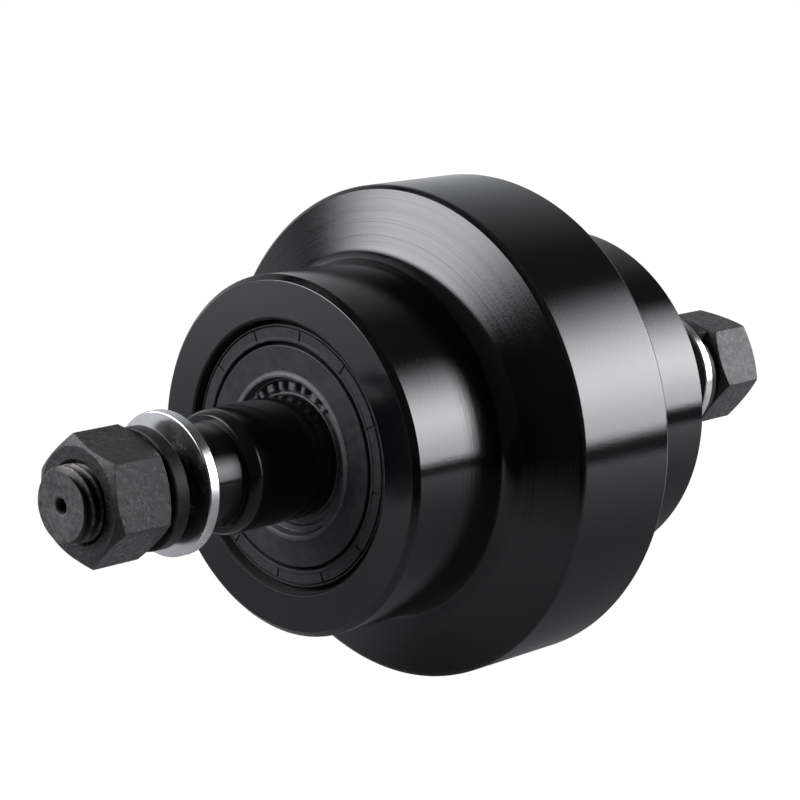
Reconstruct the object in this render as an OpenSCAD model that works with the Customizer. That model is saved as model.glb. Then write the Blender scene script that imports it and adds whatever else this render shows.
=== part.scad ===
// Track roller (bottom roller) of a small tracked machine, with a centre
// guide flange, on a fixed shaft with threaded ends.
// The spin axis is Y, +Z is up and the origin is at the middle of the flange.
// The front end faces -Y. Each end is drawn with its axis along +Z, pointing
// out of the roller, and at_end() then lays it along -Y or +Y. Lengths along
// that axis are counted from the middle of the flange.

/* [Roller body] */
// Diameter over the guide flange
flange_d = 124; // [118:1:130]
// Width of the flange at its rim, between the outer edges of the chamfers
flange_w = 32.6; // [28:0.2:36]
// Slope of the flange's sides away from square, in degrees
flange_taper = 18; // [10:1:22]
// Radial height of the rim's edge chamfers
rim_chamfer = 1.1; // [0.5:0.1:2]
// Diameter of the two treads
tread_d = 88; // [86:1:92]
// Length of the body over both treads
body_l = 107; // [106:1:112]
// Radius of the fillet between the flange and a tread
tread_fillet = 5; // [3:0.5:6]
// Chamfer at the end of a tread
tread_chamfer = 1.4; // [0.5:0.1:2]
// Diameter of the lead-in at the mouth of the seal bore
mouth_d = 68.8; // [67:0.2:72]
// Diameter of the grease space between the bearings
grease_space_d = 54; // [48:1:56]

/* [Bearings] */
// Bore of the ball bearings, which is also the diameter of the shaft
bearing_bore = 30; // [30]
// Outer diameter of the ball bearings
bearing_od = 62; // [62]
// Width of a ball bearing
bearing_w = 16; // [16]
// Distance between the two bearings
bearing_gap = 43; // [40:1:43]
// Diameter of a ball
ball_d = 9.525; // [9.525]
// Number of balls in a bearing
ball_count = 9; // [7:1:9]
// Diameter of the circle through the ball centres
ball_circle_d = 46; // [46]

/* [Seals] */
// Outer diameter of the seals
seal_od = 65; // [65:0.5:66]
// Width of a seal
seal_w = 10; // [10]
// Depth of the seal's face below the end of the body
seal_inset = 1.5; // [1:0.1:2]
// Diameter of the wear sleeve that the lips run on
sleeve_d = 38; // [38]
// Diameter of the wear sleeve's outer disc
sleeve_disc_d = 54; // [52:0.5:54]
// Diameter of the dish in that disc
dish_d = 41; // [40:0.5:43]

/* [Shaft] */
// Length of the shaft over both threaded ends
shaft_l = 242.2; // [240:0.2:246]
// Distance between the two shoulders
shoulder_span = 154.4; // [150:0.2:156]
// Diameter of the seats that the track frame holds
seat_d = 25; // [24:0.5:26]
// Length of a seat
seat_l = 11.7; // [11:0.1:12]
// Outer diameter of the thread
thread_d = 18; // [18]
// Diameter of the centre hole's countersink
centre_hole_d = 4; // [3:0.5:5]

/* [Nuts and washers] */
// Outer diameter of the flat washer
flat_washer_d = 34; // [32:0.5:35]
// Thickness of the flat washer
flat_washer_t = 3; // [2.5:0.1:3]
// Outer diameter of the spring washer
spring_washer_d = 29; // [28:0.5:30]
// Thickness of the spring washer's section
spring_washer_t = 4; // [3.5:0.1:4]
// Height of the spring washer when it isn't pressed flat
spring_washer_h = 8.4; // [8:0.1:8.6]
// Width across the flats of the nut
nut_af = 27; // [27:0.5:28]
// Height of the nut
nut_h = 15.8; // [14.5:0.1:16]
// Turn of the front nut's corners about the axis, in degrees
front_nut_turn = 41; // [0:1:59]
// Turn of the rear nut's corners about the axis, in degrees
rear_nut_turn = 10; // [0:1:59]

/* [Hidden] */
$fn = 96;

// Colours
paint = "#17181a";
rubber = "#2a2b2e";
seal_steel = "#34363a";
bearing_steel = "#b9bdc2";
cage_brass = "#b08d4a";
clip_steel = "#4b4f55";
zinc = "#d7dadf";
black_oxide = "#3a3b3d";

// A cut goes this far past the face that it opens
past = 1;
// Gap between two pieces that turn against each other
running_gap = 0.02;

// Roller body
flange_r = flange_d / 2;
tread_r = tread_d / 2;
half_body = body_l / 2;
rim_chamfer_l = 0.7;
rim_side = flange_w / 2;
side_slope = tan(flange_taper);
// The flange's side would meet the tread here without its fillet
root_at = rim_side + (flange_r - rim_chamfer - tread_r) * side_slope;
fillet_leg = tread_fillet / tan((90 + flange_taper) / 2);
fillet_rise = fillet_leg * cos(flange_taper);
fillet_run = fillet_leg * sin(flange_taper);
seal_floor = half_body - seal_inset - seal_w;
lead_in_l = 1.9;

// Bearings
bearing_in = bearing_gap / 2;
bearing_out = bearing_in + bearing_w;
bearing_mid = bearing_in + bearing_w / 2;
groove_r = ball_d * 0.52;
groove_shift = groove_r - ball_d / 2 - running_gap;
inner_land_d = 39.8;
outer_land_d = 52.8;
race_chamfer = 0.8;
cage_r = [20.9, 25.3];
cage_w = 13;
cage_chamfer = 0.4;
pocket_gap = 0.1;

// Spacer between the bearings
spacer_gap = 0.1;
spacer_wall = 4;

// Circlips
bore_clip_t = 2;
bore_clip_groove = [32.5, 2.15];
shaft_clip_t = 1.5;
shaft_clip_groove = [14.3, 1.6];
clip_gap = 0.05;
// Inner edge of the bore circlip's ring, and how far the edge is off centre
bore_clip_inner = [29, 0.6];
// Outer edge of the shaft circlip's ring, and how far the edge is off centre
shaft_clip_outer = [17.4, 0.5];
// Lugs of a circlip: where they sit, how far round from the middle of the gap,
// their radius, the radius of their holes, and the width of the gap
bore_clip_lugs = [28.9, 16, 3, 1.25, 14];
shaft_clip_lugs = [17.4, 18, 2.5, 1, 8];

// Seals, as heights along the axis
seal_face = half_body - seal_inset;
seal_r = seal_od / 2;
sleeve_r = sleeve_d / 2;
case_t = 1;
case_front = seal_face - 4;
case_r = seal_r - 0.5;
case_hole_r = 22.9;
garter_r = 0.75;
garter_at = [sleeve_r + 3, case_front - 4.2];
lip_gap = 0.04;
disc_r = sleeve_disc_d / 2;
disc_face = seal_face + 0.3;
disc_t = 2;
dish_r = dish_d / 2;
dish_floor = disc_face - 2.4;
hub_back = disc_face - 3.3;
sleeve_in = bearing_out + 2.5;
tick_count = 12;
tick_turn = 22;
tick_r = [28.8, 31.1];
tick_w = 0.45;
tick_depth = 0.35;
pad_count = 5;
pad_turn = 54;
pad_step = 16;
pad_size = [2.1, 1.7, 0.8];

// Shaft
shaft_r = bearing_bore / 2;
seat_r = seat_d / 2;
thread_r = thread_d / 2;
shoulder_at = shoulder_span / 2;
seat_end = shoulder_at + seat_l;
stud_end = shaft_l / 2;
shaft_chamfer = 1;
seat_chamfer = 0.5;
stud_chamfer = 0.85;
drill_r = 1;
drill_l = 7;

// Nuts and washers
flat_washer_bore = 19;
washer_chamfer = 0.4;
spring_washer_bore = 19;
nut_start = seat_end + flat_washer_t + spring_washer_h + 0.05;
nut_chamfer = 30;
nut_face_r = nut_af / 2 * 0.955;
nut_bore_r = thread_r + 0.03;
nut_countersink = 0.9;
// The spring washer's ring starts here, runs this far round, and is this finely divided
ring_start = 125;
ring_arc = 346;
ring_steps = 72;

// Lays one end's pieces along the spin axis
module at_end(side) {
    rotate([0, 0, side == "front" ? 0 : 180])
        rotate([90, 0, 0])
            children();
}

// A turned ring, from an outline of [radius, height] points
module turned(outline) {
    rotate_extrude()
        polygon(outline);
}

// A plain ring with chamfered outer edges
module chamfered_ring(bore_r, outer_r, low, high, chamfer) {
    turned([
        [bore_r, low],
        [outer_r - chamfer, low],
        [outer_r, low + chamfer],
        [outer_r, high - chamfer],
        [outer_r - chamfer, high],
        [bore_r, high],
    ]);
}

// Half of the roller body's section, from its middle to its front
module body_half_section() {
    difference() {
        polygon([
            [grease_space_d / 2, 0],
            [flange_r, 0],
            [flange_r, rim_side - rim_chamfer_l],
            [flange_r - rim_chamfer, rim_side],
            [tread_r + fillet_rise, root_at - fillet_run],
            [tread_r + tread_fillet, root_at + fillet_leg],
            [tread_r, root_at + fillet_leg],
            [tread_r, half_body - tread_chamfer],
            [tread_r - tread_chamfer, half_body],
            [mouth_d / 2, half_body],
            [seal_r, half_body - lead_in_l],
            [seal_r, seal_floor],
            [bearing_od / 2, seal_floor],
            [bearing_od / 2, bearing_in],
            [grease_space_d / 2, bearing_in],
        ]);
        translate([tread_r + tread_fillet, root_at + fillet_leg])
            circle(r = tread_fillet);
        translate([0, bearing_out])
            square(bore_clip_groove);
    }
}

module roller_body() {
    color(paint)
        for (side = ["front", "rear"])
            at_end(side)
                rotate_extrude()
                    body_half_section();
}

// Half of the shaft's section, from its middle to the end of its stud
module shaft_half_section() {
    difference() {
        polygon([
            [0, 0],
            [shaft_r, 0],
            [shaft_r, shoulder_at - shaft_chamfer],
            [shaft_r - shaft_chamfer, shoulder_at],
            [seat_r, shoulder_at],
            [seat_r, seat_end - seat_chamfer],
            [seat_r - seat_chamfer, seat_end],
            [thread_r, seat_end],
            [thread_r, stud_end - stud_chamfer],
            [thread_r - stud_chamfer, stud_end],
            [centre_hole_d / 2, stud_end],
            [drill_r, stud_end - (centre_hole_d / 2 - drill_r) * tan(60)],
            [drill_r, stud_end - drill_l],
            [0, stud_end - drill_l - drill_r / 2],
        ]);
        translate([shaft_clip_groove[0], bearing_out])
            square([shaft_r, shaft_clip_groove[1]]);
    }
}

module shaft() {
    color(paint)
        for (side = ["front", "rear"])
            at_end(side)
                rotate_extrude()
                    shaft_half_section();
}

// Keeps the two inner races apart
module bearing_spacer() {
    color(clip_steel)
        rotate([90, 0, 0])
            rotate_extrude()
                translate([shaft_r + spacer_gap, -bearing_in])
                    square([spacer_wall, bearing_gap]);
}

module bearing_outer_race(side) {
    color(bearing_steel)
        at_end(side)
            rotate_extrude()
                difference() {
                    polygon([
                        [outer_land_d / 2, bearing_in],
                        [bearing_od / 2 - race_chamfer, bearing_in],
                        [bearing_od / 2, bearing_in + race_chamfer],
                        [bearing_od / 2, bearing_out - race_chamfer],
                        [bearing_od / 2 - race_chamfer, bearing_out],
                        [outer_land_d / 2, bearing_out],
                    ]);
                    translate([ball_circle_d / 2 - groove_shift, bearing_mid])
                        circle(r = groove_r);
                }
}

module bearing_inner_race(side) {
    color(bearing_steel)
        at_end(side)
            rotate_extrude()
                difference() {
                    polygon([
                        [shaft_r, bearing_in + race_chamfer],
                        [shaft_r + race_chamfer, bearing_in],
                        [inner_land_d / 2, bearing_in],
                        [inner_land_d / 2, bearing_out],
                        [shaft_r + race_chamfer, bearing_out],
                        [shaft_r, bearing_out - race_chamfer],
                    ]);
                    translate([ball_circle_d / 2 + groove_shift, bearing_mid])
                        circle(r = groove_r);
                }
}

// Puts a copy of its children at each ball
module at_balls() {
    for (i = [0 : ball_count - 1])
        rotate([0, 0, 360 / ball_count * i])
            translate([ball_circle_d / 2, 0, bearing_mid])
                children();
}

module bearing_balls(side) {
    color(bearing_steel)
        at_end(side)
            at_balls()
                sphere(d = ball_d);
}

module bearing_cage(side) {
    color(cage_brass)
        at_end(side)
            difference() {
                chamfered_ring(
                    cage_r[0], cage_r[1],
                    bearing_mid - cage_w / 2, bearing_mid + cage_w / 2,
                    cage_chamfer
                );
                at_balls()
                    rotate([0, 90, 0])
                        cylinder(r = ball_d / 2 + pocket_gap, h = ball_d, center = true);
            }
}

// A circlip's flat outline, with its gap and the two lugs beside it at the bottom
module clip_outline(lugs) {
    lug_at = lugs[0];
    lug_turn = lugs[1];
    lug_r = lugs[2];
    hole_r = lugs[3];
    gap_w = lugs[4];
    difference() {
        union() {
            difference() {
                children();
                translate([-gap_w / 2, -2 * lug_at])
                    square([gap_w, 2 * lug_at]);
            }
            for (turn = [-lug_turn, lug_turn])
                rotate(turn)
                    translate([0, -lug_at])
                        circle(r = lug_r);
        }
        for (turn = [-lug_turn, lug_turn])
            rotate(turn)
                translate([0, -lug_at])
                    circle(r = hole_r);
    }
}

// Holds the outer race in the body
module bore_circlip(side) {
    color(clip_steel)
        at_end(side)
            translate([0, 0, bearing_out])
                linear_extrude(bore_clip_t)
                    clip_outline(bore_clip_lugs)
                        difference() {
                            circle(r = bore_clip_groove[0] - clip_gap);
                            translate([0, -bore_clip_inner[1]])
                                circle(r = bore_clip_inner[0]);
                        }
}

// Holds the inner race on the shaft
module shaft_circlip(side) {
    color(clip_steel)
        at_end(side)
            translate([0, 0, bearing_out])
                linear_extrude(shaft_clip_t)
                    clip_outline(shaft_clip_lugs)
                        difference() {
                            translate([0, shaft_clip_outer[1]])
                                circle(r = shaft_clip_outer[0]);
                            circle(r = shaft_clip_groove[0] + clip_gap);
                        }
}

// The seal's steel case, an angle ring
module seal_case(side) {
    color(clip_steel)
        at_end(side)
            turned([
                [case_r - case_t, seal_floor + 0.6],
                [case_r, seal_floor + 0.6],
                [case_r, case_front],
                [case_hole_r, case_front],
                [case_hole_r, case_front - case_t],
                [case_r - case_t, case_front - case_t],
            ]);
}

// The rubber bonded to that case: its skin, its face, a dust lip and the main lip
module seal_rubber(side) {
    color(rubber)
        at_end(side)
            difference() {
                rotate_extrude()
                    difference() {
                        polygon([
                            [case_r, seal_floor + 0.6],
                            [seal_r, seal_floor + 1.1],
                            [seal_r, seal_face - 0.6],
                            [seal_r - 0.3, seal_face - 0.3],
                            [tick_r[1] + 0.2, seal_face - 0.3],
                            [tick_r[1], seal_face],
                            [tick_r[0], seal_face],
                            [tick_r[0] - 0.2, seal_face + 0.2],
                            [disc_r + 0.9, seal_face + 0.2],
                            [disc_r + 0.6, seal_face - 0.1],
                            [disc_r + 0.6, case_front + 0.4],
                            [sleeve_r + 2.5, case_front + 0.4],
                            [sleeve_r + 0.3, case_front + 0.6],
                            [sleeve_r + lip_gap, case_front + 0.3],
                            [sleeve_r + 1.6, case_front - 0.5],
                            [sleeve_r + 1.8, case_front - 1.5],
                            [sleeve_r + lip_gap, case_front - 3],
                            [sleeve_r + 0.9, case_front - 5],
                            [sleeve_r + 1.6, case_front - 5.5],
                            [sleeve_r + 3.2, case_front - 5.5],
                            [sleeve_r + 3.3, case_front - 5],
                            [sleeve_r + 2.3, case_front - 3.2],
                            [sleeve_r + 2.4, case_front - 2.2],
                            [sleeve_r + 3.3, case_front - case_t - 0.2],
                            [case_hole_r + 1, case_front - case_t - 0.2],
                            [case_hole_r + 1, case_front - case_t],
                            [case_hole_r, case_front - case_t],
                            [case_hole_r, case_front],
                            [case_r, case_front],
                        ]);
                        translate(garter_at)
                            circle(r = garter_r + 0.02);
                    }
                for (i = [0 : tick_count - 1])
                    rotate([0, 0, tick_turn + 360 / tick_count * i])
                        translate([tick_r[0], -tick_w / 2, seal_face - tick_depth])
                            cube([tick_r[1] - tick_r[0], tick_w, past]);
            }
}

// The coil spring that presses the main lip on the sleeve, as a plain ring
module seal_garter_spring(side) {
    color(clip_steel)
        at_end(side)
            rotate_extrude()
                translate(garter_at)
                    circle(r = garter_r);
}

// The sleeve that the lips run on, with the disc that covers the lips
module seal_wear_sleeve(side) {
    color(seal_steel)
        at_end(side) {
            turned([
                [shaft_r, sleeve_in],
                [sleeve_r - 0.5, sleeve_in],
                [sleeve_r, sleeve_in + 0.5],
                [sleeve_r, hub_back],
                [sleeve_r + 2.4, hub_back],
                [sleeve_r + 3.4, disc_face - disc_t],
                [disc_r - 0.3, disc_face - disc_t],
                [disc_r, disc_face - disc_t + 0.3],
                [disc_r, disc_face - 0.4],
                [disc_r - 0.4, disc_face],
                [dish_r + 0.6, disc_face],
                [dish_r, disc_face - 0.4],
                [dish_r - 0.6, dish_floor + 0.2],
                [dish_r - 0.8, dish_floor],
                [shaft_r + 2.1, dish_floor],
                [shaft_r + 2, dish_floor - 0.7],
                [shaft_r + 1.3, dish_floor - 0.7],
                [shaft_r + 1.2, dish_floor + 0.9],
                [shaft_r + 0.9, dish_floor + 1.2],
                [shaft_r, dish_floor + 1.2],
            ]);
            for (i = [0 : pad_count - 1])
                rotate([0, 0, pad_turn + pad_step * i])
                    translate([shaft_r + 2.3, -pad_size[1] / 2, dish_floor - 0.1])
                        cube(pad_size);
        }
}

module flat_washer(side) {
    color(zinc)
        at_end(side)
            chamfered_ring(
                flat_washer_bore / 2, flat_washer_d / 2,
                seat_end, seat_end + flat_washer_t,
                washer_chamfer
            );
}

// How far the spring washer's ring has sprung back at share s of its length
function ring_drop(s) = (spring_washer_h - spring_washer_t) * pow(s, 2);

// The four corners of the ring's section at share s of its length
function ring_section(s) = let(
    turn = ring_start - ring_arc * s,
    low = seat_end + flat_washer_t + spring_washer_h - spring_washer_t - ring_drop(s),
    radii = [spring_washer_bore / 2, spring_washer_d / 2, spring_washer_d / 2, spring_washer_bore / 2],
    heights = [low, low, low + spring_washer_t, low + spring_washer_t]
) [for (i = [0 : 3]) [radii[i] * cos(turn), radii[i] * sin(turn), heights[i]]];

// A split ring that isn't pressed flat: its ends stand apart
module spring_washer(side) {
    points = [for (i = [0 : ring_steps]) each ring_section(i / ring_steps)];
    last = 4 * ring_steps;
    walls = [
        for (i = [0 : ring_steps - 1], j = [0 : 3])
            let(a = 4 * i + j, b = 4 * i + (j + 1) % 4)
                each [[a, a + 4, b + 4], [a, b + 4, b]]
    ];
    color(black_oxide)
        at_end(side)
            polyhedron(
                points = points,
                faces = concat([[0, 1, 2, 3]], walls, [[last + 3, last + 2, last + 1, last]])
            );
}

module nut(side) {
    corner_r = nut_af / 2 / cos(30);
    edge = (corner_r - nut_face_r) * tan(nut_chamfer);
    top = nut_start + nut_h;
    color(black_oxide)
        at_end(side)
            difference() {
                intersection() {
                    translate([0, 0, nut_start])
                        rotate([0, 0, side == "front" ? front_nut_turn : rear_nut_turn])
                            cylinder(r = corner_r, h = nut_h, $fn = 6);
                    turned([
                        [0, nut_start],
                        [nut_face_r, nut_start],
                        [corner_r + past, nut_start + edge + past * tan(nut_chamfer)],
                        [corner_r + past, top - edge - past * tan(nut_chamfer)],
                        [nut_face_r, top],
                        [0, top],
                    ]);
                }
                turned([
                    [0, nut_start - past],
                    [nut_bore_r + nut_countersink + past, nut_start - past],
                    [nut_bore_r, nut_start + nut_countersink],
                    [nut_bore_r, top - nut_countersink],
                    [nut_bore_r + nut_countersink + past, top + past],
                    [0, top + past],
                ]);
            }
}

roller_body();
shaft();
bearing_spacer();
bearing_outer_race("front");  // front_bearing_outer_race
bearing_outer_race("rear");  // rear_bearing_outer_race
bearing_inner_race("front");  // front_bearing_inner_race
bearing_inner_race("rear");  // rear_bearing_inner_race
bearing_balls("front");  // front_bearing_balls
bearing_balls("rear");  // rear_bearing_balls
bearing_cage("front");  // front_bearing_cage
bearing_cage("rear");  // rear_bearing_cage
bore_circlip("front");  // front_bore_circlip
bore_circlip("rear");  // rear_bore_circlip
shaft_circlip("front");  // front_shaft_circlip
shaft_circlip("rear");  // rear_shaft_circlip
seal_case("front");  // front_seal_case
seal_case("rear");  // rear_seal_case
seal_rubber("front");  // front_seal_rubber
seal_rubber("rear");  // rear_seal_rubber
seal_garter_spring("front");  // front_seal_garter_spring
seal_garter_spring("rear");  // rear_seal_garter_spring
seal_wear_sleeve("front");  // front_seal_wear_sleeve
seal_wear_sleeve("rear");  // rear_seal_wear_sleeve
flat_washer("front");  // front_flat_washer
flat_washer("rear");  // rear_flat_washer
spring_washer("front");  // front_spring_washer
spring_washer("rear");  // rear_spring_washer
nut("front");  // front_nut
nut("rear");  // rear_nut
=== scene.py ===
import math

import bmesh
import bpy
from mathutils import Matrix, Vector


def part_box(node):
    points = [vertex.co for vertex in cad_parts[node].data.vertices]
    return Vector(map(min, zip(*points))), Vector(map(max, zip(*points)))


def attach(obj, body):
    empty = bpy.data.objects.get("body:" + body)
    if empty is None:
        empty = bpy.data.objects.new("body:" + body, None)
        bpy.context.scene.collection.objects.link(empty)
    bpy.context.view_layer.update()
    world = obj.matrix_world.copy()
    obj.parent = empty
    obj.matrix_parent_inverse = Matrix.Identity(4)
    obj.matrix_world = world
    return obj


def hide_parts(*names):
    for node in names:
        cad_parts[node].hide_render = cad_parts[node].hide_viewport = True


# The looks of a track roller with a centre guide flange, on a fixed shaft with threaded ends.
# The spin axis is Y, +Z is up and the origin is at the middle of the flange. Outlines are in
# millimetres: (distance from the axis, distance from the middle of the flange), and their
# third number is the radius that rounds the corner. Blender's own units are metres.

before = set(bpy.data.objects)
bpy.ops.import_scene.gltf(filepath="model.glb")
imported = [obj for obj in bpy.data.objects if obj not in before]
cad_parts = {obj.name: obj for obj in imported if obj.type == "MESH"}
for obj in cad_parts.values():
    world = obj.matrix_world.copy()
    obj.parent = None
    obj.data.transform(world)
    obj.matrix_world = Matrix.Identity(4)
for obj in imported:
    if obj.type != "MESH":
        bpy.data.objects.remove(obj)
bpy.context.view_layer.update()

MM = 0.001
MICRON = 0.000001
TAU = 2 * math.pi
SIDES = ("front", "rear")

# Bends between faces, in degrees: where wear starts, over how much it grows, and a hard edge
WORN_FROM = 5
WORN_OVER = 12
HARD_EDGE = 50


# ---------------------------------------------------------------- sizes

def reach(node):
    """A turned node's outer radius, and where it starts and ends along the axis, in mm."""
    low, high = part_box(node)
    near, far = sorted((abs(low.y), abs(high.y)))
    return (high.x - low.x) / 2 / MM, near / MM, far / MM


flange_r, _, half_body = reach("roller_body")
shaft_r, _, stud_end = reach("shaft")
washer_r, washer_in, washer_out = reach("front_flat_washer")
_, ring_in, ring_out = reach("front_spring_washer")
_, nut_in, nut_out = reach("front_nut")
seal_r, seal_back, _ = reach("front_seal_rubber")
disc_r, sleeve_in, disc_face = reach("front_seal_wear_sleeve")
bearing_r, bearing_in, bearing_out = reach("front_bearing_outer_race")
_, _, case_front = reach("front_seal_case")
garter_r, garter_in, garter_out = reach("front_seal_garter_spring")

# Roller body
tread_r = 44
tread_fillet = 5
rim_side = 16.3
rim_chamfer = (1.1, 0.9)
side_lean = 18
side_slope = math.tan(math.radians(side_lean))
tread_chamfer = 1.4
mouth_r = 33.8
grease_space_r = 27
clip_groove = (32.5, 2.15)

# Shaft
seat_r = 12.5
seat_start = 77.2
thread_r = 9
thread_pitch = 2.5
thread_depth = 1.5
thread_step = 0.14
crest_flat = 0.14
flank_share = 0.62
stud_chamfer = 0.85
centre_hole_r = 2
drill_r = 1.75
drill_l = 7
shaft_groove = (14.3, 1.6)
shoulder_steps = [0, 0.15, 0.3, 0.45, 0.6, 0.75, 0.9, 1]

# Seal
seal_face = half_body - 1.5
seal_gap = 2.8
sleeve_r = 19
dish_r = 20.5
dish_floor = disc_face - 2.9
dish_step = disc_face - 1.5
dish_step_r = 18.6
dish_gap_r = 17.2
tick_count = 12
tick_turn = math.radians(22)
tick_r = (28.8, 31.1)
tick_w = 0.45
tick_depth = 0.35
pad_turn = math.radians(50)
pad_step = math.radians(13)
pad_r = (15.9, 18)
pad_room = 1.1
pad_room_fade = math.radians(4)
pad_widths = (1.5, 2.3, 1.5, 2.5, 1.7, 2.3, 1.5)

# Nuts and washers
washer_bore_r = 9.5
ring_r = 14.5
ring_t = 4
ring_start = math.radians(125)
ring_arc = math.radians(346)
nut_af = 27
nut_face_r = 12.89
nut_bore_r = 9.03
nut_minor_r = 7.75
nut_thread_depth = 1.4
nut_countersink = 0.9
nut_chamfer = math.radians(30)
nut_turn = {"front": math.radians(41), "rear": math.radians(10)}

# Studio: metres, degrees, and a glow of 1 shows as plain white
floor_z = -flange_r * MM - 0.0005
table_corners = [(0.35, -4), (0.35, 4), (-6, 4), (-6, -4)]
key_azimuth = 142
key_distance = 1.15
key_width = 1
key_fade = (0.36, 0.5)
key_bottom = -0.088
key_top = 0.96
key_peak = 11.6
key_glow = [
    (key_bottom, 6),
    (0.085, 8),
    (0.265, key_peak),
    (0.44, 10),
    (0.64, 4.1),
    (0.83, 0.4),
    (key_top, 0),
]
front_light_place = (-36, 28)
front_light_distance = 1.4
front_light_r = 0.84
front_light_core = 0.2
front_light_glow = 10.2
white_glow = 1.02
studio_tint = (0.985, 0.985, 1.03)
world_azimuth = -110

# Camera: lens in millimetres, place in degrees and metres
lens_mm = 114.9
camera_place = (44.22, 11.67)
camera_distance = 0.6476
camera_right = -0.00959
camera_up = 0.00596


# ---------------------------------------------------------------- mesh making

def placed(side, turn, radius, out):
    """The point at this turn, distance from the axis and distance from the middle, in metres."""
    across, up = radius * math.cos(turn), radius * math.sin(turn)
    if side == "front":
        return (across * MM, -out * MM, up * MM)
    return (-across * MM, out * MM, up * MM)


def rounded(outline, steps=4, closed=True):
    """The (radius, out) points of an outline whose corners are (radius, out, rounding)."""
    points = []
    last = len(outline) - 1
    for i, (radius, out, rounding) in enumerate(outline):
        corner = Vector((radius, out))
        if rounding == 0 or (not closed and i in (0, last)):
            points.append((radius, out))
            continue
        before = Vector(outline[i - 1][:2]) - corner
        after = Vector(outline[(i + 1) % len(outline)][:2]) - corner
        half = before.angle(after) / 2
        leg = min(rounding / math.tan(half), 0.45 * before.length, 0.45 * after.length)
        to_centre = (before.normalized() + after.normalized()).normalized()
        centre = corner + to_centre * (leg / math.cos(half))
        start = corner + before.normalized() * leg - centre
        end = corner + after.normalized() * leg - centre
        swing = math.pi - 2 * half
        for k in range(steps + 1):
            share = k / steps
            arm = start * math.sin((1 - share) * swing) + end * math.sin(share * swing)
            points.append(tuple(centre + arm / math.sin(swing)))
    return points


def arc(centre, radius, first, last, steps):
    """Points on an arc from one angle to another, in degrees, with no further rounding."""
    turns = [math.radians(first + (last - first) * k / steps) for k in range(steps + 1)]
    return [(centre[0] + radius * math.cos(t), centre[1] + radius * math.sin(t), 0) for t in turns]


def even_turns(count):
    return [TAU * i / count for i in range(count)]


def piece(name, points, faces):
    """A smooth-shaded closed mesh whose edge_wear attribute is high along its edges."""
    mesh = bpy.data.meshes.new(name)
    mesh.from_pydata(points, [], faces)
    work = bmesh.new()
    work.from_mesh(mesh)
    bmesh.ops.remove_doubles(work, verts=work.verts, dist=1e-7)
    bmesh.ops.dissolve_degenerate(work, edges=work.edges, dist=1e-8)
    bmesh.ops.recalc_face_normals(work, faces=work.faces)
    if work.calc_volume(signed=True) < 0:
        bmesh.ops.reverse_faces(work, faces=work.faces)
    bends = []
    for vertex in work.verts:
        bend = max((edge.calc_face_angle(0) for edge in vertex.link_edges), default=0)
        bends.append(min(1, max(0, (math.degrees(bend) - WORN_FROM) / WORN_OVER)))
    for face in work.faces:
        face.smooth = True
    for edge in work.edges:
        edge.smooth = edge.calc_face_angle(0) < math.radians(HARD_EDGE)
    work.to_mesh(mesh)
    work.free()
    mesh.attributes.new("edge_wear", "FLOAT", "POINT").data.foreach_set("value", bends)
    made = bpy.data.objects.new(name, mesh)
    bpy.context.scene.collection.objects.link(made)
    weighted = made.modifiers.new("Even shading", "WEIGHTED_NORMAL")
    weighted.keep_sharp = True
    return made


def spun(name, side, outline_at, turns, closed=True):
    """A piece made by turning an outline about the axis. The outline may change with the turn."""
    rings = [outline_at(turn) for turn in turns]
    size = len(rings[0])
    points = [placed(side, t, *point) for t, ring in zip(turns, rings) for point in ring]
    count = len(turns)
    faces = []
    for i in range(count):
        here, there = i * size, (i + 1) % count * size
        for j in range(size if closed else size - 1):
            k = (j + 1) % size
            faces.append((here + j, there + j, there + k, here + k))
    return piece(name, points, faces)


def swept(name, side, sections):
    """A piece made by joining sections, each a turn and its outline, with both ends capped."""
    size = len(sections[0][1])
    points = [placed(side, turn, *point) for turn, outline in sections for point in outline]
    faces = [
        (i * size + j, (i + 1) * size + j, (i + 1) * size + (j + 1) % size, i * size + (j + 1) % size)
        for i in range(len(sections) - 1)
        for j in range(size)
    ]
    faces.append(tuple(range(size)))
    faces.append(tuple(range(len(points) - 1, len(points) - size - 1, -1)))
    return piece(name, points, faces)


# ---------------------------------------------------------------- thread

def thread_height(turn, out, depth):
    """How far below its crest an M18 right-hand thread's surface is at this place."""
    phase = (out / thread_pitch - turn / TAU) % 1
    from_crest = abs(phase - 0.5) * 2
    flank = min(1, max(0, (from_crest - crest_flat) / flank_share))
    return depth * (0.82 * flank + 0.18 * (1 - math.cos(math.pi * flank)) / 2)


def steps_between(low, high, step):
    count = max(1, round((high - low) / step))
    return [low + (high - low) * i / count for i in range(count + 1)]


# ---------------------------------------------------------------- roller body

def body_half_outline():
    """From the middle of the flange's rim, over the tread and into the bore, to the middle."""
    root = rim_side + (flange_r - rim_chamfer[0] - tread_r) * side_slope
    leg = tread_fillet * math.tan(math.radians((90 - side_lean) / 2))
    centre = (tread_r + tread_fillet, root + leg)
    return [
        (flange_r, rim_side - rim_chamfer[1], 1.3),
        (flange_r - rim_chamfer[0], rim_side, 0.4),
        *arc(centre, tread_fillet, 270 - side_lean, 180, 10),
        (tread_r, half_body - tread_chamfer, 0.4),
        (tread_r - tread_chamfer, half_body, 0.35),
        (mouth_r, half_body, 0.25),
        (seal_r + 0.7, half_body - 0.35, 0.15),
        (seal_r + 0.5, seal_face - seal_gap, 0.15),
        (seal_r, seal_face - seal_gap - 0.1, 0.1),
        (seal_r, seal_back - 0.6, 0.4),
        (bearing_r, seal_back - 0.6, 0.3),
        (bearing_r, bearing_out + clip_groove[1], 0.1),
        (clip_groove[0], bearing_out + clip_groove[1], 0.1),
        (clip_groove[0], bearing_out, 0.1),
        (bearing_r, bearing_out, 0.1),
        (bearing_r, bearing_in, 0.4),
        (grease_space_r, bearing_in, 0.4),
    ]


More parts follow.
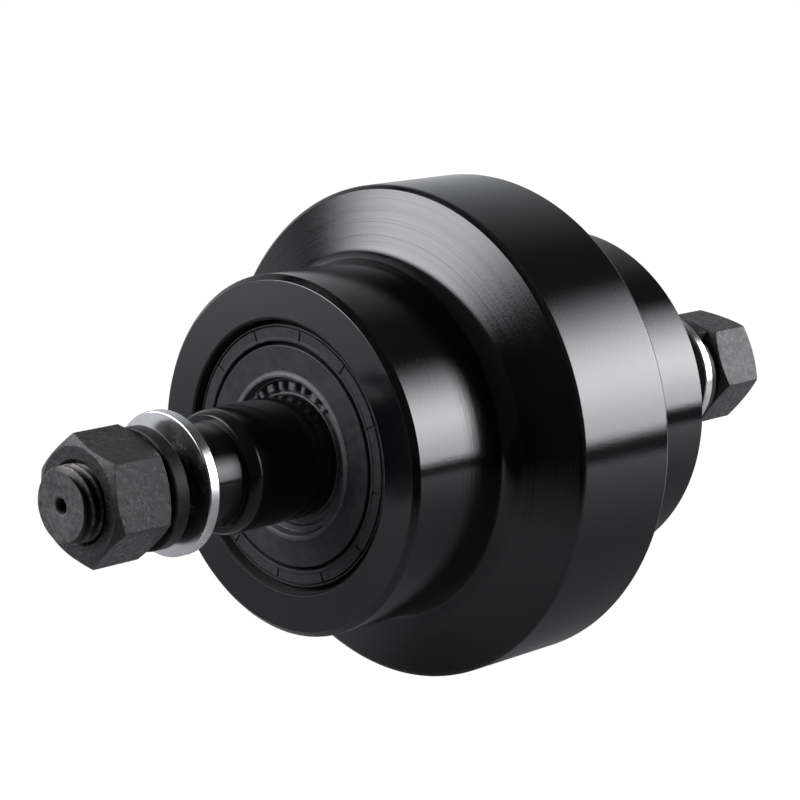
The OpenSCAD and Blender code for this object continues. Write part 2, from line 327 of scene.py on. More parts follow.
def make_roller_body():
    half = body_half_outline()
    other = [(radius, -out, rounding) for radius, out, rounding in reversed(half)]
    outline = rounded(half + other)
    return spun("roller_body_shell", "front", lambda turn: outline, even_turns(288))


# ---------------------------------------------------------------- shaft

def stud_points(turn):
    """The threaded stud's outline, from the seat to the stud's end."""
    points = []
    for out in steps_between(washer_in + 0.3, stud_end, thread_step):
        run_out = min(1, max(0, (out - washer_in - 1) / thread_pitch))
        radius = thread_r - thread_height(turn, out, thread_depth * run_out)
        points.append((min(radius, thread_r - stud_chamfer + stud_end - out), out))
    return points


def shaft_half(turn):
    """From the shaft's middle to its end at this turn."""
    journal = rounded([
        (shaft_r, 0, 0),
        (shaft_r, bearing_out, 0.05),
        (shaft_groove[0], bearing_out, 0.05),
        (shaft_groove[0], bearing_out + shaft_groove[1], 0.05),
        (shaft_r, bearing_out + shaft_groove[1], 0.05),
        *[(shaft_r - 0.75 * share ** 2, seat_start - 3.2 + 2.8 * share, 0) for share in shoulder_steps],
        (shaft_r - 1.2, seat_start, 0.3),
        (seat_r, seat_start, 0.12),
        (seat_r, washer_in - 0.5, 0.2),
        (seat_r - 0.5, washer_in, 0.2),
        (thread_r, washer_in, 0),
    ], closed=False)
    tip = rounded([
        (thread_r - stud_chamfer - 0.15, stud_end, 0),
        (centre_hole_r + 0.5, stud_end - 0.1, 0.3),
        (centre_hole_r, stud_end - 0.2, 0.15),
        (drill_r, stud_end - 0.6, 0.1),
        (drill_r, stud_end - drill_l, 0.1),
        (0, stud_end - drill_l - drill_r / 2, 0),
    ], closed=False)
    return journal + stud_points(turn) + tip


def shaft_outline(turn):
    rear = [(radius, -out) for radius, out in reversed(shaft_half(math.pi - turn)[1:])]
    return rear + shaft_half(turn)


def make_shaft():
    return spun("shaft_turned", "front", shaft_outline, even_turns(120), closed=False)


# ---------------------------------------------------------------- seals

def tick_turns():
    """Turns round the seal, with extra ones where each tick's walls are."""
    half = tick_w / 2 / tick_r[1]
    turns = even_turns(180)
    for i in range(tick_count):
        middle = tick_turn + TAU * i / tick_count
        turns = [t for t in turns if abs((t - middle + math.pi) % TAU - math.pi) > 1.6 * half]
        turns += [middle + half * share for share in (-1.35, -1.1, -0.8, 0, 0.8, 1.1, 1.35)]
    return sorted(t % TAU for t in turns)


def in_tick(turn):
    """1 in a tick of the seal's face, falling to 0 outside it."""
    half = tick_w / 2 / tick_r[1]
    step = TAU / tick_count
    away = abs((turn - tick_turn + step / 2) % step - step / 2) / half
    return min(1, max(0, (1.35 - away) / 0.5))


def rubber_outline(turn):
    low = seal_face - tick_depth * in_tick(turn)
    return rounded([
        (seal_r - 0.5, seal_back, 0.2),
        (seal_r, seal_back + 0.5, 0.3),
        (seal_r, seal_face - seal_gap - 0.2, 0.2),
        (seal_r - 0.6, seal_face - seal_gap, 0.15),
        (seal_r - 0.6, seal_face - 0.1, 0.15),
        (tick_r[1] + 0.45, seal_face - 0.1, 0.1),
        (tick_r[1] + 0.4, seal_face - 0.7, 0.1),
        (tick_r[1] + 0.1, seal_face - 0.7, 0.1),
        (tick_r[1], low, 0.12),
        (tick_r[0], low, 0.12),
        (tick_r[0] - 0.2, seal_face + 0.2, 0.1),
        (disc_r + 1, seal_face + 0.2, 0.15),
        (disc_r + 0.8, seal_face - 0.1, 0.15),
        (disc_r + 0.8, case_front + 0.4, 0.3),
        (sleeve_r + 2.5, case_front + 0.4, 0.5),
        (sleeve_r + 0.3, case_front + 0.6, 0.15),
        (sleeve_r + 0.05, case_front + 0.3, 0.1),
        (sleeve_r + 1.6, case_front - 0.5, 0.4),
        (sleeve_r + 1.8, case_front - 1.5, 0.4),
        (sleeve_r + 0.05, case_front - 3, 0.1),
        (sleeve_r + 0.9, case_front - 5, 0.3),
        (sleeve_r + 1.6, case_front - 5.5, 0.3),
        (sleeve_r + 3.75, case_front - 5.5, 0.2),
        (sleeve_r + 3.78, case_front - 4.2, 0),
        *arc((sleeve_r + 3, case_front - 4.2), 0.79, 0, -180, 8),
        (sleeve_r + 2.3, case_front - 3.2, 0.2),
        (sleeve_r + 2.4, case_front - 2.2, 0.3),
        (sleeve_r + 3.3, case_front - 1.2, 0.3),
        (sleeve_r + 4.9, case_front - 1.2, 0.2),
        (sleeve_r + 4.9, case_front - 1, 0),
        (sleeve_r + 3.9, case_front - 1, 0),
        (sleeve_r + 3.9, case_front, 0),
        (seal_r - 0.5, case_front, 0),
    ], steps=3)


def make_rubber(side):
    return spun(f"{side}_seal_lip_ring", side, rubber_outline, tick_turns())


def sleeve_outline(turn):
    """The disc's dish ends in a deep gap round the shaft, which is wider where the pads stand."""
    half = pad_step * len(pad_widths) / 2
    past = abs((turn - pad_turn + pad_step / 2 - half + math.pi) % TAU - math.pi)
    wall_r = dish_gap_r + pad_room * min(1, max(0, (half - past) / pad_room_fade))
    return rounded([
        (shaft_r, sleeve_in, 0.1),
        (sleeve_r - 0.5, sleeve_in, 0.2),
        (sleeve_r, sleeve_in + 0.5, 0.2),
        (sleeve_r, disc_face - 3.3, 0.1),
        (sleeve_r + 2.4, disc_face - 3.3, 0.2),
        (sleeve_r + 3.4, disc_face - 2, 0.3),
        (disc_r, disc_face - 2, 0.3),
        (disc_r, disc_face, 0.35),
        (dish_r + 0.3, disc_face, 0.3),
        (dish_r - 0.7, disc_face + 0.32, 0.5),
        (dish_step_r + 0.6, disc_face + 0.25, 0.5),
        (dish_step_r, dish_step, 0.4),
        (wall_r, dish_step - 0.05, 0.2),
        (wall_r - 0.2, dish_floor, 0.3),
        (shaft_r + 0.45, dish_floor, 0.2),
        (shaft_r + 0.35, dish_floor + 1.1, 0.15),
        (shaft_r, dish_floor + 1.2, 0.1),
    ])


def add_pads(made, side):
    """Low rounded pads in the dish, in the place of moulded marks."""
    work = bmesh.new()
    work.from_mesh(made.data)
    for i, pad_w in enumerate(pad_widths):
        turn = pad_turn + pad_step * i
        rings = []
        for out, inset in ((dish_floor - 0.05, 0), (dish_step + 0.05, 0.05), (dish_step + 0.3, 0.3)):
            ring = []
            for radius, half_w in zip((pad_r[0], pad_r[1], pad_r[1], pad_r[0]), (-1, -1, 1, 1)):
                near = radius + (inset if radius == pad_r[0] else -inset)
                swing = turn + half_w * (pad_w / 2 - inset) / radius
                ring.append(work.verts.new(placed(side, swing, near, out)))
            rings.append(ring)
        for low, high in zip(rings, rings[1:]):
            for j in range(4):
                work.faces.new((low[j], low[(j + 1) % 4], high[(j + 1) % 4], high[j]))
        work.faces.new(rings[0])
        work.faces.new(rings[-1])
    bmesh.ops.recalc_face_normals(work, faces=work.faces)
    work.to_mesh(made.data)
    work.free()


def make_sleeve(side):
    made = spun(f"{side}_seal_sleeve", side, sleeve_outline, even_turns(180))
    add_pads(made, side)
    return made


def make_garter(side):
    """A closed coil that runs round the lip."""
    middle_out = (garter_in + garter_out) / 2
    wire_r = 0.16
    coil_r = (garter_out - garter_in) / 2 - wire_r
    middle_r = garter_r - wire_r - coil_r
    coils = 210
    per_coil = 10
    wire_sides = 5
    count = coils * per_coil
    points, faces = [], []
    for i in range(count):
        swing = TAU * (i % per_coil) / per_coil
        turn = TAU * i / count
        for j in range(wire_sides):
            bulge = coil_r + wire_r * math.cos(TAU * j / wire_sides)
            ahead = wire_r * math.sin(TAU * j / wire_sides) / middle_r
            spot = (middle_r + bulge * math.cos(swing), middle_out + bulge * math.sin(swing))
            points.append(placed(side, turn + ahead, *spot))
    for i in range(count):
        here, there = i * wire_sides, (i + 1) % count * wire_sides
        for j in range(wire_sides):
            k = (j + 1) % wire_sides
            faces.append((here + j, there + j, there + k, here + k))
    return piece(f"{side}_seal_garter_coil", points, faces)


# ---------------------------------------------------------------- nuts and washers

def make_flat_washer(side):
    """A punched washer, rounded where the punch went in and sharper where it came out."""
    outline = rounded([
        (washer_bore_r, washer_in, 0.2),
        (washer_r, washer_in, 0.5),
        (washer_r - 0.03, washer_out, 0.4),
        (washer_bore_r, washer_out, 0.45),
    ], steps=5)
    return spun(f"{side}_plain_washer", side, lambda turn: outline, even_turns(160))


def make_spring_washer(side):
    """A split ring that has sprung back along its length, so that its ends stand apart."""
    spring_back = ring_out - ring_in - ring_t
    sections = []
    for share in [0, 0.002] + [0.01 + 0.98 * i / 128 for i in range(129)] + [0.998, 1]:
        inset = 0.18 if share in (0, 1) else 0
        low = ring_out - ring_t - spring_back * share ** 2
        outline = rounded([
            (washer_bore_r + inset, low + inset, 0.5),
            (ring_r - inset, low + inset, 0.5),
            (ring_r - inset, low + ring_t - inset, 0.5),
            (washer_bore_r + inset, low + ring_t - inset, 0.5),
        ])
        sections.append((ring_start - ring_arc * share, outline))
    return swept(f"{side}_split_washer", side, sections)


def hexagon(corner_rounding=0.55, per_flat=16, per_corner=6):
    """(turn, radius) round a hexagon whose corners are rounded."""
    to_centre = (nut_af / 2 - corner_rounding) / math.cos(math.pi / 6)
    spots = []
    for corner in range(6):
        middle = TAU * corner / 6
        centre = Vector((to_centre, 0))
        for k in range(per_corner + 1):
            lean = math.radians(-30 + 60 * k / per_corner)
            spot = centre + corner_rounding * Vector((math.cos(lean), math.sin(lean)))
            spots.append((middle + math.atan2(spot.y, spot.x), spot.length))
        start = spots[-1][0]
        flat_middle = middle + math.pi / 6
        for k in range(1, per_flat):
            turn = start + 2 * (flat_middle - start) * k / per_flat
            spots.append((turn, nut_af / 2 / math.cos(turn - flat_middle)))
    return spots


def nut_bore(turn):
    """The threaded bore, from the outer face to the inner one."""
    points = []
    for out in steps_between(nut_in, nut_out, thread_step)[::-1]:
        groove = nut_bore_r + 0.05 - thread_height(turn, out, nut_thread_depth)
        mouth = nut_bore_r + nut_countersink - min(out - nut_in, nut_out - out)
        points.append((max(groove, nut_minor_r, mouth), out))
    return points


def make_nut(side):
    twist = nut_turn[side]
    radius_at = {}
    for turn, radius in hexagon():
        radius_at[turn + twist] = radius
    slope = math.tan(nut_chamfer)

    def outline_at(turn):
        corner = radius_at[turn]
        rise = (corner - nut_face_r) * slope
        outer = rounded([
            (nut_bore_r + nut_countersink + 0.2, nut_in, 0),
            (nut_face_r, nut_in, 0.4),
            (corner, nut_in + rise, 0.3),
            (corner, nut_out - rise, 0.3),
            (nut_face_r, nut_out, 0.4),
            (nut_bore_r + nut_countersink + 0.2, nut_out, 0),
        ], closed=False)
        return outer + nut_bore(turn)

    return spun(f"{side}_hex_nut", side, outline_at, sorted(radius_at))


# ---------------------------------------------------------------- materials

def new_material(name, color, metallic, roughness, specular=0.5):
    material = bpy.data.materials.new(name)
    material.use_nodes = True
    shader = material.node_tree.nodes["Principled BSDF"]
    shader.inputs["Base Color"].default_value = (*color, 1)
    shader.inputs["Metallic"].default_value = metallic
    shader.inputs["Roughness"].default_value = roughness
    shader.inputs["Specular IOR Level"].default_value = specular
    return material


def node(material, kind, **settings):
    made = material.node_tree.nodes.new(kind)
    for key, value in settings.items():
        setattr(made, key, value)
    return made


def link(material, source, target):
    material.node_tree.links.new(source, target)


def place(material):
    return node(material, "ShaderNodeTexCoord").outputs["Object"]


def from_axis(material):
    """The distance from the spin axis and the place along it, as a vector's X and Y."""
    split = node(material, "ShaderNodeSeparateXYZ")
    link(material, place(material), split.inputs[0])
    flat = node(material, "ShaderNodeCombineXYZ")
    link(material, split.outputs["X"], flat.inputs["X"])
    link(material, split.outputs["Z"], flat.inputs["Y"])
    length = node(material, "ShaderNodeVectorMath", operation="LENGTH")
    link(material, flat.outputs[0], length.inputs[0])
    joined = node(material, "ShaderNodeCombineXYZ")
    link(material, length.outputs["Value"], joined.inputs["X"])
    link(material, split.outputs["Y"], joined.inputs["Y"])
    return joined.outputs[0], length.outputs["Value"]


def noise(material, scale, detail=3, roughness=0.55, vector=None):
    """Noise with this many cells in a metre."""
    made = node(material, "ShaderNodeTexNoise")
    made.inputs["Scale"].default_value = scale
    made.inputs["Detail"].default_value = detail
    made.inputs["Roughness"].default_value = roughness
    link(material, vector or place(material), made.inputs["Vector"])
    return made.outputs["Fac"]


def blend_range(material, value, low, high, from_low=0.3, from_high=0.7):
    """The value mapped from one range to another."""
    made = node(material, "ShaderNodeMapRange")
    made.inputs["From Min"].default_value = from_low
    made.inputs["From Max"].default_value = from_high
    made.inputs["To Min"].default_value = low
    made.inputs["To Max"].default_value = high
    link(material, value, made.inputs["Value"])
    return made.outputs["Result"]


def arithmetic(material, operation, first, second):
    made = node(material, "ShaderNodeMath", operation=operation)
    for socket, value in zip(made.inputs, (first, second)):
        if isinstance(value, (int, float)):
            socket.default_value = value
        else:
            link(material, value, socket)
    return made.outputs[0]


def color_blend(material, factor, first, second):
    """One colour where the factor is 0 and the other where it is 1."""
    made = node(material, "ShaderNodeMix", data_type="RGBA")
    link(material, factor, made.inputs[0])
    for socket, value in ((made.inputs[6], first), (made.inputs[7], second)):
        if isinstance(value, tuple):
            socket.default_value = (*value, 1)
        else:
            link(material, value, socket)
    return made.outputs[2]


def edge_wear(material):
    return node(material, "ShaderNodeAttribute", attribute_name="edge_wear").outputs["Fac"]


def set_input(material, name, value):
    link(material, value, material.node_tree.nodes["Principled BSDF"].inputs[name])


def cloudy_color(material, value, dark, light):
    """Lets the base colour drift between two tones with the value."""
    tone = blend_range(material, value, 0, 1)
    set_input(material, "Base Color", color_blend(material, tone, dark, light))


def bump(material, layers):
    """Bumps from (height, depth in micrometres) layers, one on top of the other."""
    normal = None
    for height, depth in layers:
        made = node(material, "ShaderNodeBump")
        made.inputs["Strength"].default_value = 1
        made.inputs["Distance"].default_value = depth * MICRON
        link(material, height, made.inputs["Height"])
        if normal:
            link(material, normal, made.inputs["Normal"])
        normal = made.outputs["Normal"]
    set_input(material, "Normal", normal)


def turned_rings(material, pitch_scale):
    """Fine uneven rings round the axis, as a turning tool leaves them."""
    rings, _ = from_axis(material)
    return noise(material, pitch_scale, detail=4, roughness=0.6, vector=rings)


def gloss_paint(name, color):
    """Black gloss enamel over turned steel, with the tool's rings plainest on the flange's sides.
    It is dull in the recess round each seal."""
    made = new_material(name, color, 0, 0.11)
    rings, radius = from_axis(made)
    fine = noise(made, 2600, detail=3, roughness=0.6, vector=rings)
    coarse = noise(made, 1700, detail=3, roughness=0.7, vector=rings)
    past_treads = blend_range(made, radius, 0, 1, (tread_r + 2) * MM, (tread_r + 5) * MM)
    before_rim = blend_range(made, radius, 1, 0, (flange_r - 1) * MM, (flange_r - 0.5) * MM)
    on_sides = arithmetic(made, "MULTIPLY", past_treads, before_rim)
    grain = noise(made, 2600, detail=2)
    haze = noise(made, 60, detail=4)
    specks = noise(made, 5200, detail=1)
    gloss = blend_range(made, haze, 0.07, 0.11)
    past_mouth = blend_range(made, radius, 1, 0, (mouth_r - 0.1) * MM, (mouth_r + 0.1) * MM)
    set_input(made, "Roughness", arithmetic(made, "MAXIMUM", gloss, past_mouth))
    worn = arithmetic(made, "MULTIPLY", edge_wear(made), blend_range(made, specks, 0, 1))
    set_input(made, "Base Color", color_blend(made, worn, color, (0.03, 0.03, 0.032)))
    deep = arithmetic(made, "MULTIPLY", coarse, on_sides)
    bump(made, [(grain, 18), (fine, 14), (deep, 80)])
    return made


def shaft_finish():
    """A slightly duller black enamel, on the journals and seats."""
    made = new_material("shaft_enamel", (0.008, 0.0085, 0.0083), 0, 0.14, specular=0.26)
    fine = turned_rings(made, 2600)
    haze = noise(made, 120, detail=4)
    set_input(made, "Roughness", blend_range(made, haze, 0.1, 0.17))
    bump(made, [(fine, 5)])
    return made


def thread_finish():
    """Dark oiled steel, bright on patches of the thread's crests and brownish in its roots."""
    made = new_material("stud_steel", (0.02, 0.017, 0.015), 0.35, 0.38, specular=0.35)
    _, radius = from_axis(made)
    crest = blend_range(made, radius, 0, 1, (thread_r - 0.7) * MM, (thread_r - 0.05) * MM)
    patches = noise(made, 420, detail=6, roughness=0.65)
    bright = arithmetic(made, "MULTIPLY", crest, blend_range(made, patches, 0, 1, 0.42, 0.62))
    dark = color_blend(made, patches, (0.009, 0.0055, 0.0045), (0.022, 0.017, 0.014))
    set_input(made, "Base Color", color_blend(made, bright, dark, (0.15, 0.145, 0.138)))
    set_input(made, "Roughness", blend_range(made, patches, 0.32, 0.5))
    bump(made, [(noise(made, 3000), 10)])
    return made


def stud_face_finish():
    """The turned and blackened end of a stud."""
    made = new_material("stud_end_steel", (0.03, 0.03, 0.03), 0.35, 0.5)
    patches = noise(made, 700, detail=7, roughness=0.7)
    tone = blend_range(made, patches, 0, 1, 0.36, 0.64)
    set_input(made, "Base Color", color_blend(made, tone, (0.014, 0.014, 0.0145), (0.09, 0.089, 0.088)))
    set_input(made, "Roughness", blend_range(made, patches, 0.45, 0.65))
    bump(made, [(turned_rings(made, 2200), 30), (patches, 40)])
    return made


def black_oxide():
    """Black oxide on forged steel: mottled, pitted, and rubbed lighter on the edges."""
    made = new_material("black_oxide", (0.006, 0.006, 0.0062), 0, 0.36, specular=0.44)
    patches = noise(made, 620, detail=6, roughness=0.7)
    grit = noise(made, 1100, detail=5, roughness=0.7)
    tone = blend_range(made, patches, 0, 1, 0.43, 0.6)
    base = color_blend(made, tone, (0.0005, 0.0005, 0.0006), (0.006, 0.006, 0.006))
    specks = blend_range(made, grit, 0, 0.8, 0.54, 0.66)
    speckled = color_blend(made, specks, base, (0.025, 0.025, 0.025))
    worn = arithmetic(made, "MULTIPLY", edge_wear(made), blend_range(made, grit, 0.1, 0.8))
    set_input(made, "Base Color", color_blend(made, worn, speckled, (0.12, 0.12, 0.12)))
    set_input(made, "Roughness", blend_range(made, patches, 0.24, 0.46, 0.4, 0.6))
    bump(made, [(patches, 360), (grit, 60)])
    return made


def spring_oxide():
    """The spring washer's thinner black oxide, with drawing marks along the wire."""
    made = new_material("spring_oxide", (0.01, 0.01, 0.011), 0, 0.36, specular=0.1)
    cloud = noise(made, 350, detail=6)
    marks = turned_rings(made, 2200)
    tone = blend_range(made, cloud, 0, 1)
    base = color_blend(made, tone, (0.003, 0.003, 0.0035), (0.011, 0.011, 0.0115))
    worn = arithmetic(made, "MULTIPLY", edge_wear(made), blend_range(made, cloud, 0.2, 0.8))
    set_input(made, "Base Color", color_blend(made, worn, base, (0.07, 0.07, 0.07)))
    set_input(made, "Roughness", blend_range(made, cloud, 0.3, 0.46))
    bump(made, [(marks, 20), (cloud, 30)])
    return made


def bright_zinc():
    """Bright zinc plate: cloudy, with a fine crystalline grain and turning marks."""
    made = new_material("bright_zinc", (0.7, 0.71, 0.7), 1, 0.3)
    cloud = noise(made, 240, detail=4)
    grain = noise(made, 2200, detail=3)
    cloudy_color(made, cloud, (0.6, 0.61, 0.6), (0.76, 0.77, 0.765))
    set_input(made, "Roughness", blend_range(made, cloud, 0.19, 0.3))
    bump(made, [(turned_rings(made, 1500), 4), (grain, 2)])
    return made


def rubber():
    """Satin nitrile rubber with a fine moulded grain and a little dust."""
    made = new_material("nitrile_rubber", (0.026, 0.026, 0.028), 0, 0.46, specular=0.16)
    dust = noise(made, 500, detail=6)
    grain = noise(made, 4000, detail=3)
    cloudy_color(made, dust, (0.018, 0.018, 0.0195), (0.036, 0.036, 0.039))
    set_input(made, "Roughness", blend_range(made, dust, 0.38, 0.55))
    bump(made, [(grain, 12)])
    return made


def seal_metal():
    """Satin black coating over a pressed steel disc, with a painted highlight that lightens it in
    patches inside the dish.
    """
    made = new_material("coated_steel", (0.025, 0.025, 0.027), 0, 0.38, specular=0.16)
    dust = noise(made, 450, detail=6)
    coat = color_blend(made, blend_range(made, dust, 0, 1), (0.019, 0.019, 0.021), (0.034, 0.034, 0.037))
    _, radius = from_axis(made)
    # Painted highlight: inside the dish the coating's colour is lightened in patches.
    inside = blend_range(made, radius, 1, 0, (dish_r - 0.3) * MM, (dish_r + 0.1) * MM)
    dish_highlight_paint = arithmetic(made, "MULTIPLY", inside, blend_range(made, noise(made, 900, detail=3), 0.5, 1))
    set_input(made, "Base Color", color_blend(made, dish_highlight_paint, coat, (0.11, 0.11, 0.115)))
    set_input(made, "Roughness", blend_range(made, dust, 0.28, 0.42))
    bump(made, [(turned_rings(made, 2600), 8), (noise(made, 1500), 8)])
    return made


def ground_steel():
    """Ground bearing steel with fine rings and a film of grease."""
    made = new_material("ground_steel", (0.6, 0.61, 0.63), 1, 0.2)
    film = noise(made, 150, detail=4)
    cloudy_color(made, film, (0.52, 0.51, 0.48), (0.66, 0.67, 0.69))
    set_input(made, "Roughness", blend_range(made, film, 0.12, 0.3))
    bump(made, [(turned_rings(made, 4000), 4)])
    return made


def cage_brass():
    """Machined brass, warmer where it has tarnished."""
    made = new_material("machined_brass", (0.62, 0.45, 0.2), 1, 0.3)
    tarnish = noise(made, 300, detail=5)
    cloudy_color(made, tarnish, (0.42, 0.27, 0.1), (0.72, 0.54, 0.26))
    set_input(made, "Roughness", blend_range(made, tarnish, 0.22, 0.42))
    bump(made, [(turned_rings(made, 3500), 8)])
    return made


def clip_steel():
    """Phosphated spring steel, dark and slightly oily."""
    made = new_material("phosphated_steel", (0.1, 0.105, 0.11), 0.7, 0.4)
    patches = noise(made, 700, detail=5)
    cloudy_color(made, patches, (0.07, 0.072, 0.076), (0.15, 0.155, 0.16))
    set_input(made, "Roughness", blend_range(made, patches, 0.3, 0.5))
    bump(made, [(noise(made, 2500), 10)])
    return made


# ---------------------------------------------------------------- putting it together

FINISH = {
    "roller_paint": gloss_paint("roller_enamel", (0.003, 0.003, 0.0035)),
    "shaft_paint": shaft_finish(),
    "seal_rubber": rubber(),
    "seal_steel": seal_metal(),
    "bright_zinc": bright_zinc(),
    "black_oxide": black_oxide(),
    "bearing_steel": ground_steel(),
    "cage_brass": cage_brass(),
    "spring_steel": clip_steel(),
}


def stand_for(made, nodes, body, slot, material=None):
    """The piece takes the place of these CAD nodes and moves with their body."""
    made.data.materials.clear()
    made.data.materials.append(material or FINISH[slot])
    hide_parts(*nodes)
    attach(made, body)
    return made


def finish_stud(shaft):
    """Gives the stud's faces their own materials."""
    shaft.data.materials.append(thread_finish())
    shaft.data.materials.append(stud_face_finish())
    for face in shaft.data.polygons:
        middle = face.center
        out = abs(middle.y) / MM
        radius = math.hypot(middle.x, middle.z) / MM
        if out > washer_in + 0.05 and radius < thread_r + 0.1:
            at_end = out > stud_end - 0.1 or radius < centre_hole_r + 0.3
            face.material_index = 2 if at_end else 1


stand_for(make_roller_body(), ["roller_body"], "roller", "roller_paint")
shaft = stand_for(make_shaft(), ["shaft"], "shaft_assembly", "shaft_paint")
finish_stud(shaft)
spring_black = spring_oxide()
for side in SIDES:
    stand_for(make_rubber(side), [f"{side}_seal_rubber"], "roller", "seal_rubber")
    stand_for(make_sleeve(side), [f"{side}_seal_wear_sleeve"], "shaft_assembly", "seal_steel")
    stand_for(make_garter(side), [f"{side}_seal_garter_spring"], "roller", "spring_steel")
    stand_for(make_flat_washer(side), [f"{side}_flat_washer"], f"{side}_washers", "bright_zinc")
    split_ring = make_spring_washer(side)
    stand_for(split_ring, [f"{side}_spring_washer"], f"{side}_washers", "black_oxide", spring_black)
    stand_for(make_nut(side), [f"{side}_nut"], f"{side}_nut", "black_oxide")

KEPT = {
    "bearing_outer_race": "bearing_steel",
    "bearing_inner_race": "bearing_steel",
    "bearing_balls": "bearing_steel",
    "bearing_cage": "cage_brass",
    "bore_circlip": "spring_steel",
    "shaft_circlip": "spring_steel",
    "seal_case": "seal_steel",
    "bearing_spacer": "spring_steel",
}
for name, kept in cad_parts.items():
    for ending, slot in KEPT.items():
        if name.endswith(ending):
            kept.data.materials.clear()
            kept.data.materials.append(FINISH[slot])


# ---------------------------------------------------------------- studio

def direction(azimuth, elevation):
    a, e = math.radians(azimuth), math.radians(elevation)
    return Vector((math.sin(a) * math.cos(e), -math.cos(a) * math.cos(e), math.sin(e)))


def towards(material, along, near, far):
    """0 up to a distance in this direction, in metres, and 1 beyond the further one."""
    made = node(material, "ShaderNodeVectorMath", operation="DOT_PRODUCT")
    link(material, place(material), made.inputs[0])
    made.inputs[1].default_value = along
    return blend_range(material, made.outputs["Value"], 0, 1, near, far)


def make_floor():
    """A pale table that ends a short way beyond the object. The camera sees it burnt out to
    white. The object mirrors its base colour, into which light and shade are painted: paler
    to the left and the rear, dark in front."""
    mesh = bpy.data.meshes.new("studio_floor")
    back, along = direction(key_azimuth, 0), direction(key_azimuth - 90, 0)
    corners = [back * ahead + along * side for ahead, side in table_corners]
    mesh.from_pydata([(c.x, c.y, floor_z) for c in corners], [], [(0, 1, 2, 3)])
    floor = bpy.data.objects.new("studio_floor", mesh)
    bpy.context.scene.collection.objects.link(floor)
    made = new_material("floor_white", (0.45, 0.45, 0.45), 0, 0.9, specular=0)
    tree = made.node_tree
    # Painted light and shade in the base colour: paler to the left, palest towards the key box at the
    # rear, near black in front.
    left = towards(made, direction(-48, 0), 0.35, 0.65)
    front = towards(made, direction(40, 0), 0.1, 0.24)
    rear = towards(made, back, 0.1, 0.34)
    lit = color_blend(made, left, (0.44, 0.44, 0.455), (0.6, 0.6, 0.625))
    lit = color_blend(made, rear, lit, (0.93, 0.93, 0.95))
    set_input(made, "Base Color", color_blend(made, front, lit, (0.02, 0.02, 0.02)))
    white = node(made, "ShaderNodeEmission")
    white.inputs["Strength"].default_value = white_glow
    choice = node(made, "ShaderNodeMixShader")
    link(made, node(made, "ShaderNodeLightPath").outputs["Is Camera Ray"], choice.inputs[0])
    link(made, tree.nodes["Principled BSDF"].outputs[0], choice.inputs[1])
    link(made, white.outputs[0], choice.inputs[2])
    link(made, choice.outputs[0], tree.nodes["Material Output"].inputs["Surface"])
    floor.data.materials.append(made)


def make_panel(name, width, height, material):
    """A lit panel, its middle at its origin, that only shows in reflections and as light."""
    mesh = bpy.data.meshes.new(name)
    x, y = width / 2, height / 2
    mesh.from_pydata([(-x, -y, 0), (x, -y, 0), (x, y, 0), (-x, y, 0)], [], [(0, 1, 2, 3)])
    mesh.materials.append(material)
    panel = bpy.data.objects.new(name, mesh)
    panel.visible_camera = False
    panel.rotation_mode = "QUATERNION"
    bpy.context.scene.collection.objects.link(panel)
    return panel


def light_material(name, strength_of):
    """Emission on the panel's front, with a strength that strength_of makes from its place."""
    made = bpy.data.materials.new(name)
    made.use_nodes = True
    made.node_tree.nodes.remove(made.node_tree.nodes["Principled BSDF"])
    glow = node(made, "ShaderNodeEmission")
    glow.inputs["Color"].default_value = (*studio_tint, 1)
    front = arithmetic(made, "SUBTRACT", 1, node(made, "ShaderNodeNewGeometry").outputs["Backfacing"])
    link(made, arithmetic(made, "MULTIPLY", strength_of(made), front), glow.inputs["Strength"])
    link(made, glow.outputs[0], made.node_tree.nodes["Material Output"].inputs["Surface"])
    return made


def make_key_box():
    """A tall soft box beyond the table, brightest about a third of the way up."""
    height = key_top - key_bottom

    def strength_of(made):
        split = node(made, "ShaderNodeSeparateXYZ")
        link(made, place(made), split.inputs[0])
        up = blend_range(made, split.outputs["Y"], 0, 1, -height / 2, height / 2)
        ramp = node(made, "ShaderNodeValToRGB")
        ramp.color_ramp.interpolation = "B_SPLINE"
        stops = ramp.color_ramp.elements
        while len(stops) < len(key_glow):
            stops.new(0.5)
        for stop, (at, glow) in zip(stops, key_glow):
            stop.position = (at - key_bottom) / height
            stop.color = (glow / key_peak, glow / key_peak, glow / key_peak, 1)
        link(made, up, ramp.inputs[0])
        across = arithmetic(made, "ABSOLUTE", split.outputs["X"], 0)
        sides = blend_range(made, across, 1, 0, *key_fade)
        share = arithmetic(made, "MULTIPLY", ramp.outputs["Color"], sides)
        return arithmetic(made, "MULTIPLY", share, key_peak)

    box = make_panel("key_box", key_width, height, light_material("key_light", strength_of))
    back = direction(key_azimuth, 0)
    box.location = back * key_distance + Vector((0, 0, (key_top + key_bottom) / 2))
    box.rotation_quaternion = (-back).to_track_quat("Z", "Y")


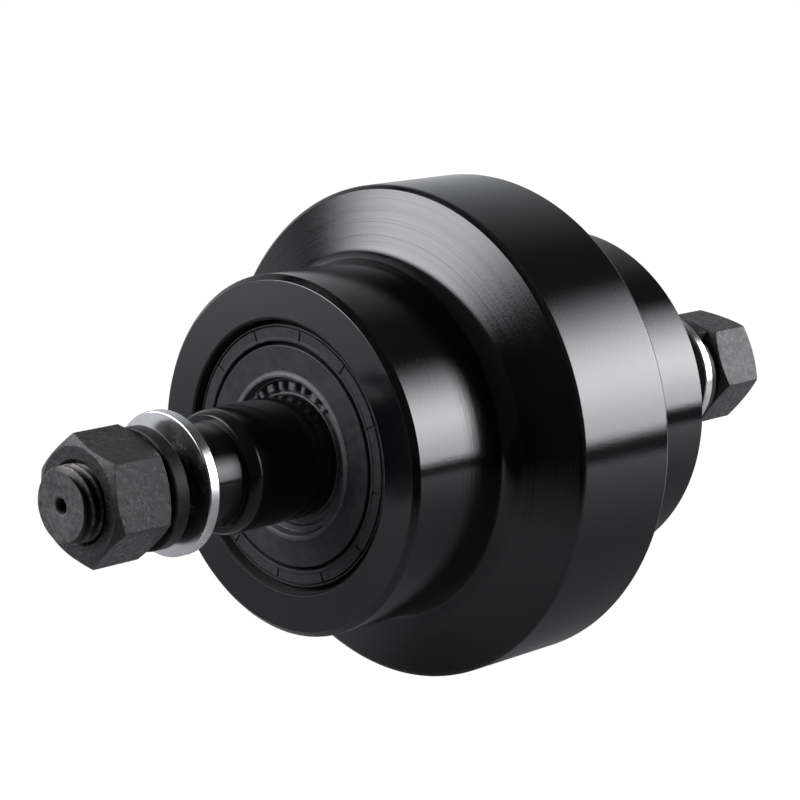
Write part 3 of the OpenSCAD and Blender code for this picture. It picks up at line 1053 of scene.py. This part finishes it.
def make_front_light():
    """A round soft light high on the front left."""
    def strength_of(made):
        length = node(made, "ShaderNodeVectorMath", operation="LENGTH")
        link(made, place(made), length.inputs[0])
        fade = node(made, "ShaderNodeMapRange", interpolation_type="SMOOTHSTEP")
        fade.inputs["From Min"].default_value = front_light_core
        fade.inputs["From Max"].default_value = front_light_r
        fade.inputs["To Min"].default_value = front_light_glow
        fade.inputs["To Max"].default_value = 0
        link(made, length.outputs["Value"], fade.inputs["Value"])
        return fade.outputs["Result"]

    width = 2 * front_light_r
    light = make_panel("front_light", width, width, light_material("front_glow", strength_of))
    back = direction(*front_light_place)
    light.location = back * front_light_distance
    light.rotation_quaternion = (-back).to_track_quat("Z", "Y")


def make_world():
    """A dim studio that is lighter towards the rear left, and white behind the object."""
    world = bpy.data.worlds.new("studio")
    bpy.context.scene.world = world
    world.use_nodes = True
    tree = world.node_tree
    background = tree.nodes["Background"]
    background.inputs["Strength"].default_value = 1
    spot = tree.nodes.new("ShaderNodeTexCoord")
    facing = tree.nodes.new("ShaderNodeVectorMath")
    facing.operation = "DOT_PRODUCT"
    facing.inputs[1].default_value = direction(world_azimuth, 0)
    tree.links.new(spot.outputs["Generated"], facing.inputs[0])
    ramp = tree.nodes.new("ShaderNodeValToRGB")
    ramp.color_ramp.elements[0].position = 0.25
    ramp.color_ramp.elements[0].color = (0.05, 0.05, 0.052, 1)
    ramp.color_ramp.elements[1].position = 0.9
    ramp.color_ramp.elements[1].color = (0.59, 0.6, 0.62, 1)
    tree.links.new(facing.outputs["Value"], ramp.inputs[0])
    eye = tree.nodes.new("ShaderNodeLightPath")
    mix = tree.nodes.new("ShaderNodeMix")
    mix.data_type = "RGBA"
    tree.links.new(eye.outputs["Is Camera Ray"], mix.inputs[0])
    tree.links.new(ramp.outputs["Color"], mix.inputs[6])
    mix.inputs[7].default_value = (white_glow, white_glow, white_glow, 1)
    tree.links.new(mix.outputs[2], background.inputs["Color"])


def make_camera():
    """A long lens, a little above the axis and to the right of the front end."""
    lens = bpy.data.cameras.new("camera")
    lens.lens = lens_mm
    lens.sensor_width = 36
    camera = bpy.data.objects.new("camera", lens)
    back = direction(*camera_place)
    right = Vector((-back.y, back.x, 0)).normalized()
    up = back.cross(right)
    camera.location = back * camera_distance + right * camera_right + up * camera_up
    camera.rotation_mode = "QUATERNION"
    camera.rotation_quaternion = (-back).to_track_quat("-Z", "Y")
    bpy.context.scene.collection.objects.link(camera)
    bpy.context.scene.camera = camera


make_floor()
make_world()
make_camera()
make_key_box()
make_front_light()
bpy.context.scene.view_settings.view_transform = "Standard"
